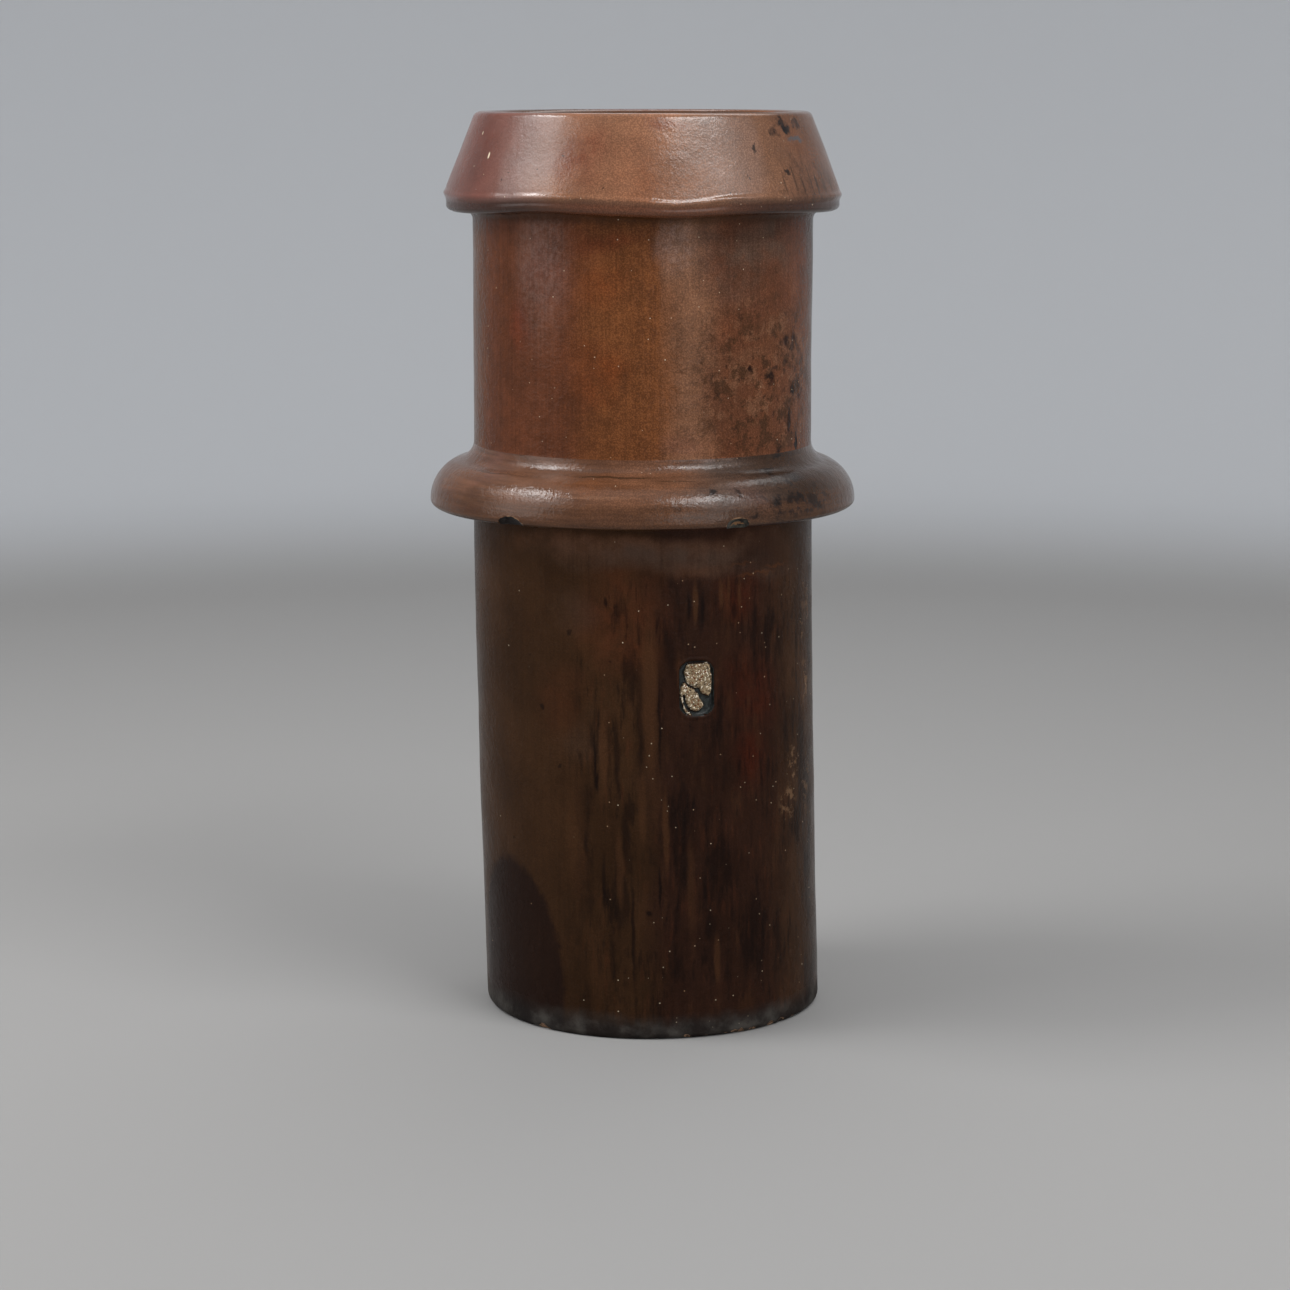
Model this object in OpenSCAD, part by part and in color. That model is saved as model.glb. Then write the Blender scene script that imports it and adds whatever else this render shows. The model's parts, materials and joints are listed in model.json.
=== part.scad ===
// Salt-glazed stoneware chimney pot: a straight flue pipe with a coned rim collar and a middle
// collar, thrown and fired as one piece. Millimetres, +Z up, standing on its foot at Z = 0 with the
// flue on the Z axis. The front is towards -Y, and angles round the pot run from there towards +X.

/* [Barrel] */
// Height of the whole pot
pot_h = 715; // [600:1:900]
// Bore of the flue
bore_d = 225; // [150:1:300]
// Wall of the barrel below the middle collar
lower_wall = 23; // [16:0.5:32]
// Wall of the barrel between the two collars
upper_wall = 22; // [16:0.5:32]
// Rounding of the foot's outer edge
foot_outer_r = 5; // [2:0.5:8]
// Rounding of the foot's inner edge
foot_inner_r = 4; // [2:0.5:8]

/* [Rim collar] */
// Wall at the lip, where the cone meets the top
lip_wall = 19.5; // [16:0.5:30]
// How far the band under the cone stands out from the barrel
band_out = 21.5; // [16:0.5:32]
// Height of the cone
cone_h = 61.5; // [40:0.5:90]
// Height of the upright band under the cone
band_h = 14.5; // [12:0.5:30]
// Rounding of the lip's outer edge
lip_outer_r = 5; // [2:0.5:7]
// Rounding of the lip's inner edge
lip_inner_r = 8; // [2:0.5:9]
// Rounding between the cone and the band
shoulder_r = 25; // [5:1:35]
// Rounding of the band's lower edge
rim_edge_r = 6; // [2:0.5:7]
// Fillet between the band's underside and the barrel
rim_fillet_r = 7; // [2:0.5:8]

/* [Middle collar] */
// Height of the collar's underside above the floor
collar_z = 405.5; // [300:0.5:480]
// How far the collar stands out from the barrel below it
collar_out = 34; // [24:0.5:45]
// Radius of the ovolo, the round of the collar's upper face
ovolo_r = 33; // [28:0.5:40]
// Rounding of the collar's lower edge
collar_edge_r = 5; // [2:0.5:8]
// Hollow between the ovolo and the barrel above
collar_hollow_r = 16; // [6:1:24]
// Fillet between the collar's underside and the barrel below
collar_root_r = 4; // [2:0.5:8]

/* [Wad scar] */
// Width of the scar round the barrel
scar_w = 29; // [20:0.5:40]
// Height of the scar
scar_h = 43.5; // [30:0.5:60]
// Radius of the scar's corners
scar_corner_r = 11; // [4:0.5:14]
// Depth of the scar's floor below the glaze
scar_depth = 3.5; // [1:0.5:8]
// Height of the scar's middle above the floor
scar_z = 278.5; // [100:0.5:340]
// Angle of the scar from the front
scar_angle = 18; // [-90:1:90]

/* [Chips in the middle collar's lower edge] */
// Angle of the hollow chip from the front
hollow_chip_angle = -38.5; // [-90:0.5:-10]
// Width of the hollow chip along the edge
hollow_chip_w = 29; // [18:0.5:40]
// Height of the hollow chip up the outside
hollow_chip_h = 7; // [6:0.5:9]
// Depth of the hollow chip across the underside
hollow_chip_depth = 8; // [6:0.5:9]
// Angle of the shell-shaped chip from the front
shell_chip_angle = 27; // [0:0.5:90]
// Width of the shell-shaped chip along the edge
shell_chip_w = 24; // [18:0.5:40]
// Height of the shell-shaped chip up the outside
shell_chip_h = 8.5; // [6:0.5:9]
// Depth of the shell-shaped chip across the underside
shell_chip_depth = 6; // [5:0.5:9]

/* [Chips in the foot] */
// Angle of the larger foot chip from the front
foot_chip_angle = 30; // [0:1:40]
// Angle of the smaller foot chip from the front
side_chip_angle = 50; // [41:1:90]
// Width of the larger foot chip along the edge
foot_chip_w = 26; // [18:0.5:40]
// Width of the smaller foot chip along the edge
side_chip_w = 20; // [18:0.5:40]
// Height of the foot chips up the outside
foot_chip_h = 6; // [5:0.5:9]
// Depth of the foot chips across the underside
foot_chip_depth = 5.5; // [5:0.5:9]

/* [Hidden] */
$fn = 128;
// How far a cut runs past the surface that it cuts
past = 10;

// Radii of the wall's faces
bore_r = bore_d / 2;
lower_r = bore_r + lower_wall;
upper_r = bore_r + upper_wall;
lip_r = bore_r + lip_wall;
rim_r = upper_r + band_out;
collar_r = lower_r + collar_out;

// Heights along the rim collar
band_top_z = pot_h - cone_h;
rim_z = band_top_z - band_h;

// Centres of the middle collar's ovolo and of the hollow above it, which touch where they meet
ovolo_centre = [collar_r - ovolo_r, collar_z + collar_edge_r];
hollow_x = upper_r + collar_hollow_r;
hollow_rise = sqrt(pow(ovolo_r + collar_hollow_r, 2) - pow(hollow_x - ovolo_centre[0], 2));
hollow_centre = [hollow_x, ovolo_centre[1] + hollow_rise];

// Corners of the section, each a radius and a height
foot_inner = [bore_r, 0];
foot_outer = [lower_r, 0];
collar_root = [lower_r, collar_z];
collar_edge = [collar_r, collar_z];
collar_top = [collar_r, ovolo_centre[1]];
rim_root = [upper_r, rim_z];
rim_edge = [rim_r, rim_z];
band_top = [rim_r, band_top_z];
lip_outer = [lip_r, pot_h];
lip_inner = [bore_r, pot_h];

function unit(v) = v / norm(v);

// The sliver between a corner and the arc of radius r that touches both of its sides
module corner_sliver(before, corner, after, r) {
    u = unit(before - corner);
    v = unit(after - corner);
    half_angle = acos(u * v) / 2;
    reach = r / tan(half_angle);
    centre = corner + unit(u + v) * r / sin(half_angle);
    difference() {
        polygon([corner, corner + u * reach, corner + v * reach]);
        translate(centre) circle(r = r);
    }
}

// The barrel below the middle collar
module lower_barrel() {
    translate([bore_r, 0]) square([lower_r - bore_r, collar_z + collar_edge_r]);
}

// The middle collar: an ovolo over a flat underside, with the hollow that leads up to the barrel
module middle_collar() {
    intersection() {
        translate(ovolo_centre) circle(r = ovolo_r);
        translate([bore_r, ovolo_centre[1]]) square([collar_r - bore_r, ovolo_r]);
    }
    translate([bore_r, collar_z]) square([collar_r - bore_r, collar_edge_r]);
    difference() {
        polygon([
            [bore_r, ovolo_centre[1]],
            ovolo_centre,
            hollow_centre,
            [bore_r, hollow_centre[1]]
        ]);
        translate(hollow_centre) circle(r = collar_hollow_r);
    }
}

// The barrel above the middle collar, with the rim collar round its top
module upper_barrel() {
    polygon([
        [bore_r, ovolo_centre[1]],
        [upper_r, ovolo_centre[1]],
        rim_root,
        rim_edge,
        band_top,
        lip_outer,
        lip_inner
    ]);
}

// The wall's section, with its inner corners filled and its outer corners rounded
module wall_section() {
    difference() {
        union() {
            lower_barrel();
            middle_collar();
            upper_barrel();
            corner_sliver(foot_outer, collar_root, collar_edge, collar_root_r);
            corner_sliver(hollow_centre - [collar_hollow_r, 0], rim_root, rim_edge, rim_fillet_r);
        }
        corner_sliver(lip_inner, foot_inner, foot_outer, foot_inner_r);
        corner_sliver(foot_inner, foot_outer, collar_root, foot_outer_r);
        corner_sliver(collar_root, collar_edge, collar_top, collar_edge_r);
        corner_sliver(rim_root, rim_edge, band_top, rim_edge_r);
        corner_sliver(rim_edge, band_top, lip_outer, shoulder_r);
        corner_sliver(band_top, lip_outer, lip_inner, lip_outer_r);
        corner_sliver(lip_outer, lip_inner, foot_inner, lip_inner_r);
    }
}

// An upright rounded rectangle, centred
module scar_outline() {
    straight_w = scar_w - 2 * scar_corner_r;
    straight_h = scar_h - 2 * scar_corner_r;
    square([scar_w, straight_h], center = true);
    square([straight_w, scar_h], center = true);
    for (side = [-1, 1], end = [-1, 1])
        translate([side * straight_w / 2, end * straight_h / 2]) circle(r = scar_corner_r);
}

// The shallow recess where a kiln wad broke away: its floor follows the barrel
module wad_scar() {
    floor_r = lower_r - scar_depth;
    difference() {
        rotate([0, 0, scar_angle])
            translate([0, -bore_r, scar_z])
                rotate([90, 0, 0])
                    linear_extrude(lower_r - bore_r + past) scar_outline();
        translate([0, 0, scar_z - scar_h / 2 - past])
            cylinder(r = floor_r, h = scar_h + 2 * past);
    }
}

// A scoop out of a lower edge: the ball that takes this width of the edge, this height of the outside
// and this depth of the underside
module edge_chip(edge, angle, width, height, depth) {
    half = width / 2;
    below = (half * half - height * height) / (2 * height);
    beyond = (half * half - depth * depth) / (2 * depth);
    rotate([0, 0, angle - 90])
        translate([edge[0] + beyond, 0, edge[1] - below])
            sphere(r = norm([half, below, beyond]));
}

module chimney_pot() {
    color("saddlebrown")
        difference() {
            rotate_extrude() wall_section();
            wad_scar();
            edge_chip(collar_edge, hollow_chip_angle, hollow_chip_w, hollow_chip_h, hollow_chip_depth);
            edge_chip(collar_edge, shell_chip_angle, shell_chip_w, shell_chip_h, shell_chip_depth);
            edge_chip(foot_outer, foot_chip_angle, foot_chip_w, foot_chip_h, foot_chip_depth);
            edge_chip(foot_outer, side_chip_angle, side_chip_w, foot_chip_h, foot_chip_depth);
        }
}

chimney_pot();
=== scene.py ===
"""Looks of a salt-glazed stoneware chimney pot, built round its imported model."""

import json
import math

import bmesh
import bpy
import numpy as np
from mathutils import Matrix, Vector, noise


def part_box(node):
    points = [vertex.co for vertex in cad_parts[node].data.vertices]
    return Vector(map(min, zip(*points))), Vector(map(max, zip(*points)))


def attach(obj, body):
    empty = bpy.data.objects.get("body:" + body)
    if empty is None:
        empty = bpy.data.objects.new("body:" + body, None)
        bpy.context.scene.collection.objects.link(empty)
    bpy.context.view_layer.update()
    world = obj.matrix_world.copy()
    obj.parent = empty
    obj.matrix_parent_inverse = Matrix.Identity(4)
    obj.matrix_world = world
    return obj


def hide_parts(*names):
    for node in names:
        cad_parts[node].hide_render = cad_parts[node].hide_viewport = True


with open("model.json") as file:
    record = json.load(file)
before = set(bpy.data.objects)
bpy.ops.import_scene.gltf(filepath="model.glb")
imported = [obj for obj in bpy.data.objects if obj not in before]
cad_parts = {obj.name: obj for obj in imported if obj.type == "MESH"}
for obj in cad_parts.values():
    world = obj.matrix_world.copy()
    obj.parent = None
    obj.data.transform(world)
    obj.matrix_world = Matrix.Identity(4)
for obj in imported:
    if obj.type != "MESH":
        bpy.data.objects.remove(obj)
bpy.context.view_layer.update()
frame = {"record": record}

# Sizes in millimetres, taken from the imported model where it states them
MM = 0.001
MOUNTS = {mount["name"]: mount for mount in frame["record"]["mounts"]}
POT_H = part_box("chimney_pot")[1].z / MM
BORE_R = MOUNTS["flue_bore"]["dims"]["r_mm"]
LOWER_R = MOUNTS["barrel"]["dims"]["r_mm"]
COLLAR_Z = MOUNTS["collar_seat"]["pos_m"][2] / MM
COLLAR_OUT = 34.0
UPPER_IN = 1.0
LIP_WALL = 19.5
BAND_OUT = 21.5
CONE_H = 61.5
BAND_H = 14.5
CREASE_DROP = 2.0
COLLAR_R = LOWER_R + COLLAR_OUT
UPPER_R = LOWER_R - UPPER_IN
LIP_R = BORE_R + LIP_WALL
RIM_R = UPPER_R + BAND_OUT
SHOULDER_Z = POT_H - CONE_H
RIM_Z = SHOULDER_Z - BAND_H
CREASE_Z = SHOULDER_Z - CREASE_DROP
HOLLOW_TOP_Z = COLLAR_Z + 50.0
WALL_MIDDLE_R = UPPER_R - 12.0

# Roundings of the section's corners
FOOT_OUTER_R = 5.0
FOOT_INNER_R = 4.0
COLLAR_ROOT_R = 4.0
COLLAR_EDGE_R = 5.0
OVOLO_R = 33.0
HOLLOW_R = 16.0
RIM_FILLET_R = 7.0
RIM_EDGE_R = 6.0
SHOULDER_R = 25.0
LIP_OUTER_R = 5.0
LIP_INNER_R = 8.0

# What is left of the sloping line between the ovolo and the hollow
TANGENT_GAP = 0.01

# Mesh density: columns round the pot, and the longest step along lines and arcs of the section
COLUMNS = 288
BARREL_STEP = 8.0
BORE_STEP = 24.0
FLAT_STEP = 3.5
CONE_STEP = 5.0
CREASE_STEP = 0.9
ARC_STEP = 2.4
ARC_STEP_DEG = 11.0

# Limits on a normal's radial or upright part, by which faces are told apart
FACING_OUT = -0.5
FACING_IN = -0.7
FACING_DOWN = -0.6
LEVEL_FACE = 0.99


def unit(vector):
    return vector / np.linalg.norm(vector)


class Section:
    """The wall's closed outline of lines and arcs, numbered in rows from the foot up the outside."""

    def __init__(self, corners):
        """Each corner is a radius, a height, a rounding, and the longest steps on it and after it."""
        points = [np.array(corner[:2]) for corner in corners]
        following = points[1:] + points[:1]
        arcs = [
            self.rounding(points[i - 1], points[i], following[i], corner[2])
            for i, corner in enumerate(corners)
        ]
        pieces = []
        for i, arc in enumerate(arcs):
            arc_step, run_step = corners[i][3:]
            steps = max(
                math.ceil(abs(arc["turn"]) * arc["radius"] / arc_step),
                math.ceil(math.degrees(abs(arc["turn"])) / ARC_STEP_DEG),
            )
            for k in range(steps):
                first = arc["angle"] + arc["turn"] * k / steps
                pieces.append((1.0, *arc["centre"], arc["radius"], first, arc["turn"] / steps))
            start = arc["end"]
            run = arcs[(i + 1) % len(arcs)]["start"] - start
            steps = max(1, math.ceil(np.linalg.norm(run) / run_step))
            for k in range(steps):
                pieces.append((0.0, *(start + run * k / steps), *(run / steps), 0.0))
        self.pieces = np.array(pieces)
        self.rows = len(pieces)

    @staticmethod
    def rounding(before, corner, after, radius):
        u = unit(before - corner)
        v = unit(after - corner)
        half = math.acos(float(u @ v)) / 2
        reach = radius / math.tan(half)
        centre = corner + unit(u + v) * radius / math.sin(half)
        start = corner + u * reach
        end = corner + v * reach
        first = math.atan2(*(start - centre)[::-1])
        last = math.atan2(*(end - centre)[::-1])
        turn = (last - first + math.pi) % (2 * math.pi) - math.pi
        return {
            "centre": centre,
            "radius": radius,
            "angle": first,
            "turn": turn,
            "start": start,
            "end": end,
        }

    def at(self, row):
        """Radius, height and outward normal at rows that need not be whole."""
        index = np.minimum(np.floor(row).astype(int), self.rows - 1)
        share = row - index
        is_arc, a, b, c, d, e = self.pieces[index].T
        angle = d + e * share
        bulge = np.sign(e)
        radius = np.where(is_arc, a + c * np.cos(angle), a + c * share)
        height = np.where(is_arc, b + c * np.sin(angle), b + d * share)
        length = np.hypot(c, d)
        normal_r = np.where(is_arc, bulge * np.cos(angle), d / length)
        normal_z = np.where(is_arc, bulge * np.sin(angle), -c / length)
        return radius, height, normal_r, normal_z


def degrees_of(column):
    """Degrees round from the front, towards +X."""
    return column / COLUMNS * 360.0 - 180.0


def pot_section():
    """The pot's section, with the ovolo and the hollow over it as the roundings of one sloping line."""
    ovolo = np.array([COLLAR_R - OVOLO_R, COLLAR_Z + COLLAR_EDGE_R])
    hollow_r = UPPER_R + HOLLOW_R
    rise = math.sqrt((OVOLO_R + HOLLOW_R) ** 2 - (hollow_r - ovolo[0]) ** 2)
    towards = np.array([hollow_r - ovolo[0], rise]) / (OVOLO_R + HOLLOW_R)
    touch = ovolo + towards * OVOLO_R
    slope = -towards[0] / towards[1]
    ovolo_corner_z = touch[1] + slope * (COLLAR_R - touch[0])
    hollow_corner_z = touch[1] + slope * (UPPER_R - touch[0])
    return Section([
        (LOWER_R, 0.0, FOOT_OUTER_R, ARC_STEP, BARREL_STEP),
        (LOWER_R, COLLAR_Z, COLLAR_ROOT_R, ARC_STEP, FLAT_STEP),
        (COLLAR_R, COLLAR_Z, COLLAR_EDGE_R, ARC_STEP, FLAT_STEP),
        (COLLAR_R, ovolo_corner_z, OVOLO_R - TANGENT_GAP, ARC_STEP, FLAT_STEP),
        (UPPER_R, hollow_corner_z, HOLLOW_R - TANGENT_GAP, ARC_STEP, BARREL_STEP),
        (UPPER_R, RIM_Z, RIM_FILLET_R, ARC_STEP, FLAT_STEP),
        (RIM_R, RIM_Z, RIM_EDGE_R, ARC_STEP, CREASE_STEP),
        (RIM_R, SHOULDER_Z, SHOULDER_R, CREASE_STEP, CONE_STEP),
        (LIP_R, POT_H, LIP_OUTER_R, ARC_STEP, FLAT_STEP),
        (BORE_R, POT_H, LIP_INNER_R, ARC_STEP, BORE_STEP),
        (BORE_R, 0.0, FOOT_INNER_R, ARC_STEP, FLAT_STEP),
    ])


SECTION = pot_section()

# Where the scar and the chips are: degrees round from the front, towards +X, and millimetres up
SCAR_ANGLE = 17.2
SCAR_Z = 278.4
SCAR_HALF_W = 14.3
SCAR_HALF_H = 21.8
SCAR_CORNER_R = 10.0
SCAR_DEPTH = 3.4
SCAR_WALL_W = 1.5
SCAR_LIP_RISE = 0.4
SCAR_MARGIN = 6.0
SCAR_CREASE_DEPTH = 1.5
CRESCENT_RISE = 2.2
CRESCENT_HALF_W = 0.75
LOBE_RISE = 2.6
SAND_RISE = 0.6
SAND_SIZE = 1.9

# How ragged the scar's lines are, in millimetres
RAGGED_SIZE = 5.0
EDGE_RAGGED = 0.3
LOBE_RAGGED = 0.9
CRESCENT_RAGGED = 0.5

# Lines in the scar, in millimetres right of and above its middle
UPPER_LOBE = [
    (-5.7, 18.9), (8.4, 19.3), (10.9, 17.8), (12.6, 5.1), (11.8, -4.1), (10.2, -6.0), (4.3, -3.9),
    (2.8, -0.6), (-3.0, 1.9), (-6.0, 3.0), (-8.3, 6.8), (-9.4, 12.0), (-8.5, 17.0),
]
LOWER_LOBE = [
    (-12.4, 0.5), (-9.9, 4.3), (-7.6, 2.2), (-3.4, -0.6), (-1.8, -3.0), (0.6, -4.3), (1.6, -7.6),
    (5.6, -13.8), (2.6, -16.6), (-0.4, -17.6), (-4.4, -16.6), (-8.3, -9.4), (-8.7, -5.2), (-12.3, -4.5),
]
SCAR_CREASE = [(-4.6, 1.3), (0.0, -0.9), (2.6, -3.0), (3.4, -5.6)]
SCAR_CRESCENT = [(-13.0, -3.0), (-12.0, -6.4), (-11.2, -11.3), (-9.6, -16.0), (-7.6, -18.8), (-4.4, -20.8)]

# Chips as angle, width along the edge, height up the outside and depth across the underside
COLLAR_CHIPS = [(-36.7, 29.0, 7.0, 8.0), (25.4, 23.0, 8.2, 6.5)]
FOOT_CHIPS = [
    (-39.0, 16.0, 3.5, 3.5), (12.0, 12.0, 4.0, 4.0), (18.0, 10.0, 3.0, 3.0), (24.0, 12.0, 3.2, 3.2),
    (30.0, 20.0, 5.0, 4.5), (36.0, 12.0, 3.5, 3.5), (44.0, 12.0, 3.5, 3.5), (50.0, 16.0, 5.0, 4.5),
    (56.0, 10.0, 3.0, 3.0),
]
COLLAR_CHIP_ROUGH = 0.8
FOOT_CHIP_ROUGH = 1.3
CHIP_GRAIN = 6.0
CHIP_MARGIN = 3.0

# A small nick in the left side of the lower barrel
NICK_ANGLE = -88.0
NICK_Z = 243.0
NICK_DEPTH = 2.2
NICK_HALF_ANGLE = 1.6
NICK_HALF_H = 3.2

# How far the barrel leans to one side at its foot and its top, from drying and firing
BOW_TOP = -3.8
BOW_FOOT = 4.4
BOW_START_Z = 430.0
BOW_POWER = 1.5

# Unevenness of the thrown wall: an oval, a three-lobed swell, lumps, and rings from the potter's hand
OVAL_SWELL = 0.45
OVAL_PHASE = 0.8
LOBED_SWELL = 0.25
LOBED_PHASE = 2.1
LOBED_TWIST = 140.0
LUMP_SWELL = 0.5
LUMP_SIZE = 70.0
RING_RISE = 0.05
RING_PITCH = 5.2
RING_WAVER = 1.6
RING_TWIST = 60.0
BORE_UNEVEN = 1.6
LEVEL_UNEVEN = 0.3

# The pinched crease over the rim's band, and the shallow groove under it
PINCH_RISE = 1.3
PINCH_UNEVEN = 1.1
PINCH_SIZE = 28.0
PINCH_HALF_H = 2.3
GROOVE_DEPTH = 0.7
GROOVE_DROP = 6.0
GROOVE_HALF_H = 3.0

# Wander of the rim's edge and crease: waves as rise, middle, width, and a swing as rise, turns, phase
EDGE_WAVES = [(3.2, -32, 17), (-1.8, 11, 12)]
EDGE_SWING = (1.2, 2, 70)
CREASE_WAVES = [(2.4, -30, 20), (-4.0, 10, 11)]
CREASE_SWING = (1.0, 3, 20)

# Heights above the rim's lower edge between which the sag fades in and out
SAG_FADE_IN = (-16, -2)
SAG_FADE_OUT = (18, 46)


def smooth(value, low, high):
    """0 below low and 1 above high, with a smooth step between."""
    t = np.clip((value - low) / (high - low), 0.0, 1.0)
    return t * t * (3 - 2 * t)


def bump(value, middle, width):
    return np.exp(-(((value - middle) / width) ** 2))


def noise_at(points, scale, octaves=1):
    """Smooth noise about zero at points in millimetres, with features about as wide as scale."""
    total = np.zeros(len(points))
    for octave in range(octaves):
        step = scale / 2**octave
        total += [noise.noise(Vector(p) / step) / 2**octave for p in points]
    return total


def box_distance(x, y, half_w, half_h, corner_r):
    """Signed distance to a rectangle with rounded corners, negative inside."""
    qx = np.abs(x) - half_w + corner_r
    qy = np.abs(y) - half_h + corner_r
    outside = np.hypot(np.maximum(qx, 0), np.maximum(qy, 0))
    return outside + np.minimum(np.maximum(qx, qy), 0) - corner_r


def line_distance(x, y, corners):
    """Distance to a line through these corners."""
    nearest = np.full_like(x, np.inf)
    for start, end in zip(corners, corners[1:]):
        along = np.subtract(end, start)
        share = ((x - start[0]) * along[0] + (y - start[1]) * along[1]) / (along @ along)
        share = np.clip(share, 0, 1)
        gap = np.hypot(x - start[0] - along[0] * share, y - start[1] - along[1] * share)
        nearest = np.minimum(nearest, gap)
    return nearest


def outline_distance(x, y, corners):
    """Signed distance to a closed outline, negative inside."""
    inside = np.zeros(len(x), bool)
    for (x0, y0), (x1, y1) in zip(corners, corners[1:] + corners[:1]):
        if y0 != y1:
            crossing = x0 + (y - y0) * (x1 - x0) / (y1 - y0)
            inside ^= ((y0 > y) != (y1 > y)) & (x < crossing)
    return np.where(inside, -1, 1) * line_distance(x, y, corners + corners[:1])


def scar_plane(angle, height):
    """Millimetres right of and above the scar's middle."""
    return np.radians(angle - SCAR_ANGLE) * LOWER_R, height - SCAR_Z


def scar_relief(angle, height):
    """Inward depth in and round the scar, and how much of each point is sandy wad or dark border."""
    x, y = scar_plane(angle, height)
    flat = np.column_stack([x, y, np.zeros_like(x)])
    ragged = noise_at(flat, RAGGED_SIZE, 2)
    grains = noise_at(flat, SAND_SIZE, 2)
    edge = box_distance(x, y, SCAR_HALF_W, SCAR_HALF_H, SCAR_CORNER_R) + EDGE_RAGGED * ragged
    lobes = np.minimum(outline_distance(x, y, UPPER_LOBE), outline_distance(x, y, LOWER_LOBE))
    lobes += LOBE_RAGGED * ragged
    crease = line_distance(x, y, SCAR_CREASE)
    crescent = line_distance(x, y, SCAR_CRESCENT) + CRESCENT_RAGGED * ragged < CRESCENT_HALF_W
    inside = smooth(-edge, 0.0, SCAR_WALL_W)
    filled = smooth(-lobes, -1.3, 0.5) * inside
    depth = SCAR_DEPTH * inside
    depth -= LOBE_RISE * filled
    depth += filled * SAND_RISE * grains
    depth += SCAR_CREASE_DEPTH * bump(crease, 0.0, 1.0) * filled
    depth -= CRESCENT_RISE * crescent * inside
    depth -= SCAR_LIP_RISE * bump(edge, 1.2, 1.0)
    sandy = (filled > 0.45) | (crescent & (edge < 0.2))
    sandy &= ~((crease < 0.5 + EDGE_RAGGED * ragged) & (filled > 0.3))
    return depth, sandy, (edge < 0.0) & ~sandy


def chip_ball(edge_r, edge_z, chip):
    """Middle and radius of the ball that takes a chip out of a lower edge."""
    angle, width, height, depth = chip
    half = width / 2
    below = (half**2 - height**2) / (2 * height)
    beyond = (half**2 - depth**2) / (2 * depth)
    turn = math.radians(angle)
    out = edge_r + beyond
    middle = np.array([out * math.sin(turn), -out * math.cos(turn), edge_z - below])
    return middle, math.sqrt(half**2 + below**2 + beyond**2)


def scoop(points, edge_r, edge_z, chip, roughness):
    """Moves points inside a chip's ball out to its face, and says which moved."""
    middle, reach = chip_ball(edge_r, edge_z, chip)
    offset = points - middle
    distance = np.linalg.norm(offset, axis=1)
    ragged = np.zeros(len(points))
    close = distance < reach + CHIP_MARGIN
    ragged[close] = noise_at(points[close], CHIP_GRAIN, 3) * roughness
    hit = distance < reach + ragged
    points[hit] = middle + offset[hit] * ((reach + ragged[hit]) / distance[hit])[:, None]
    return hit


def wander_of(angle, waves, swing):
    """Millimetres by which a line round the rim rises above its level."""
    total = sum(rise * bump(angle, middle, width) for rise, middle, width in waves)
    rise, turns, phase = swing
    return total + rise * np.sin(np.radians(turns * angle + phase))


def rim_sag(angle, height):
    """How far the soft rim collar slumped or lifted before firing: its band is not level."""
    edge = wander_of(angle, EDGE_WAVES, EDGE_SWING)
    crease = wander_of(angle, CREASE_WAVES, CREASE_SWING)
    above = height - RIM_Z
    share = smooth(above, 2, BAND_H)
    fade = smooth(above, *SAG_FADE_IN) * (1 - smooth(above, *SAG_FADE_OUT))
    return (edge * (1 - share) + crease * share) * fade


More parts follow.
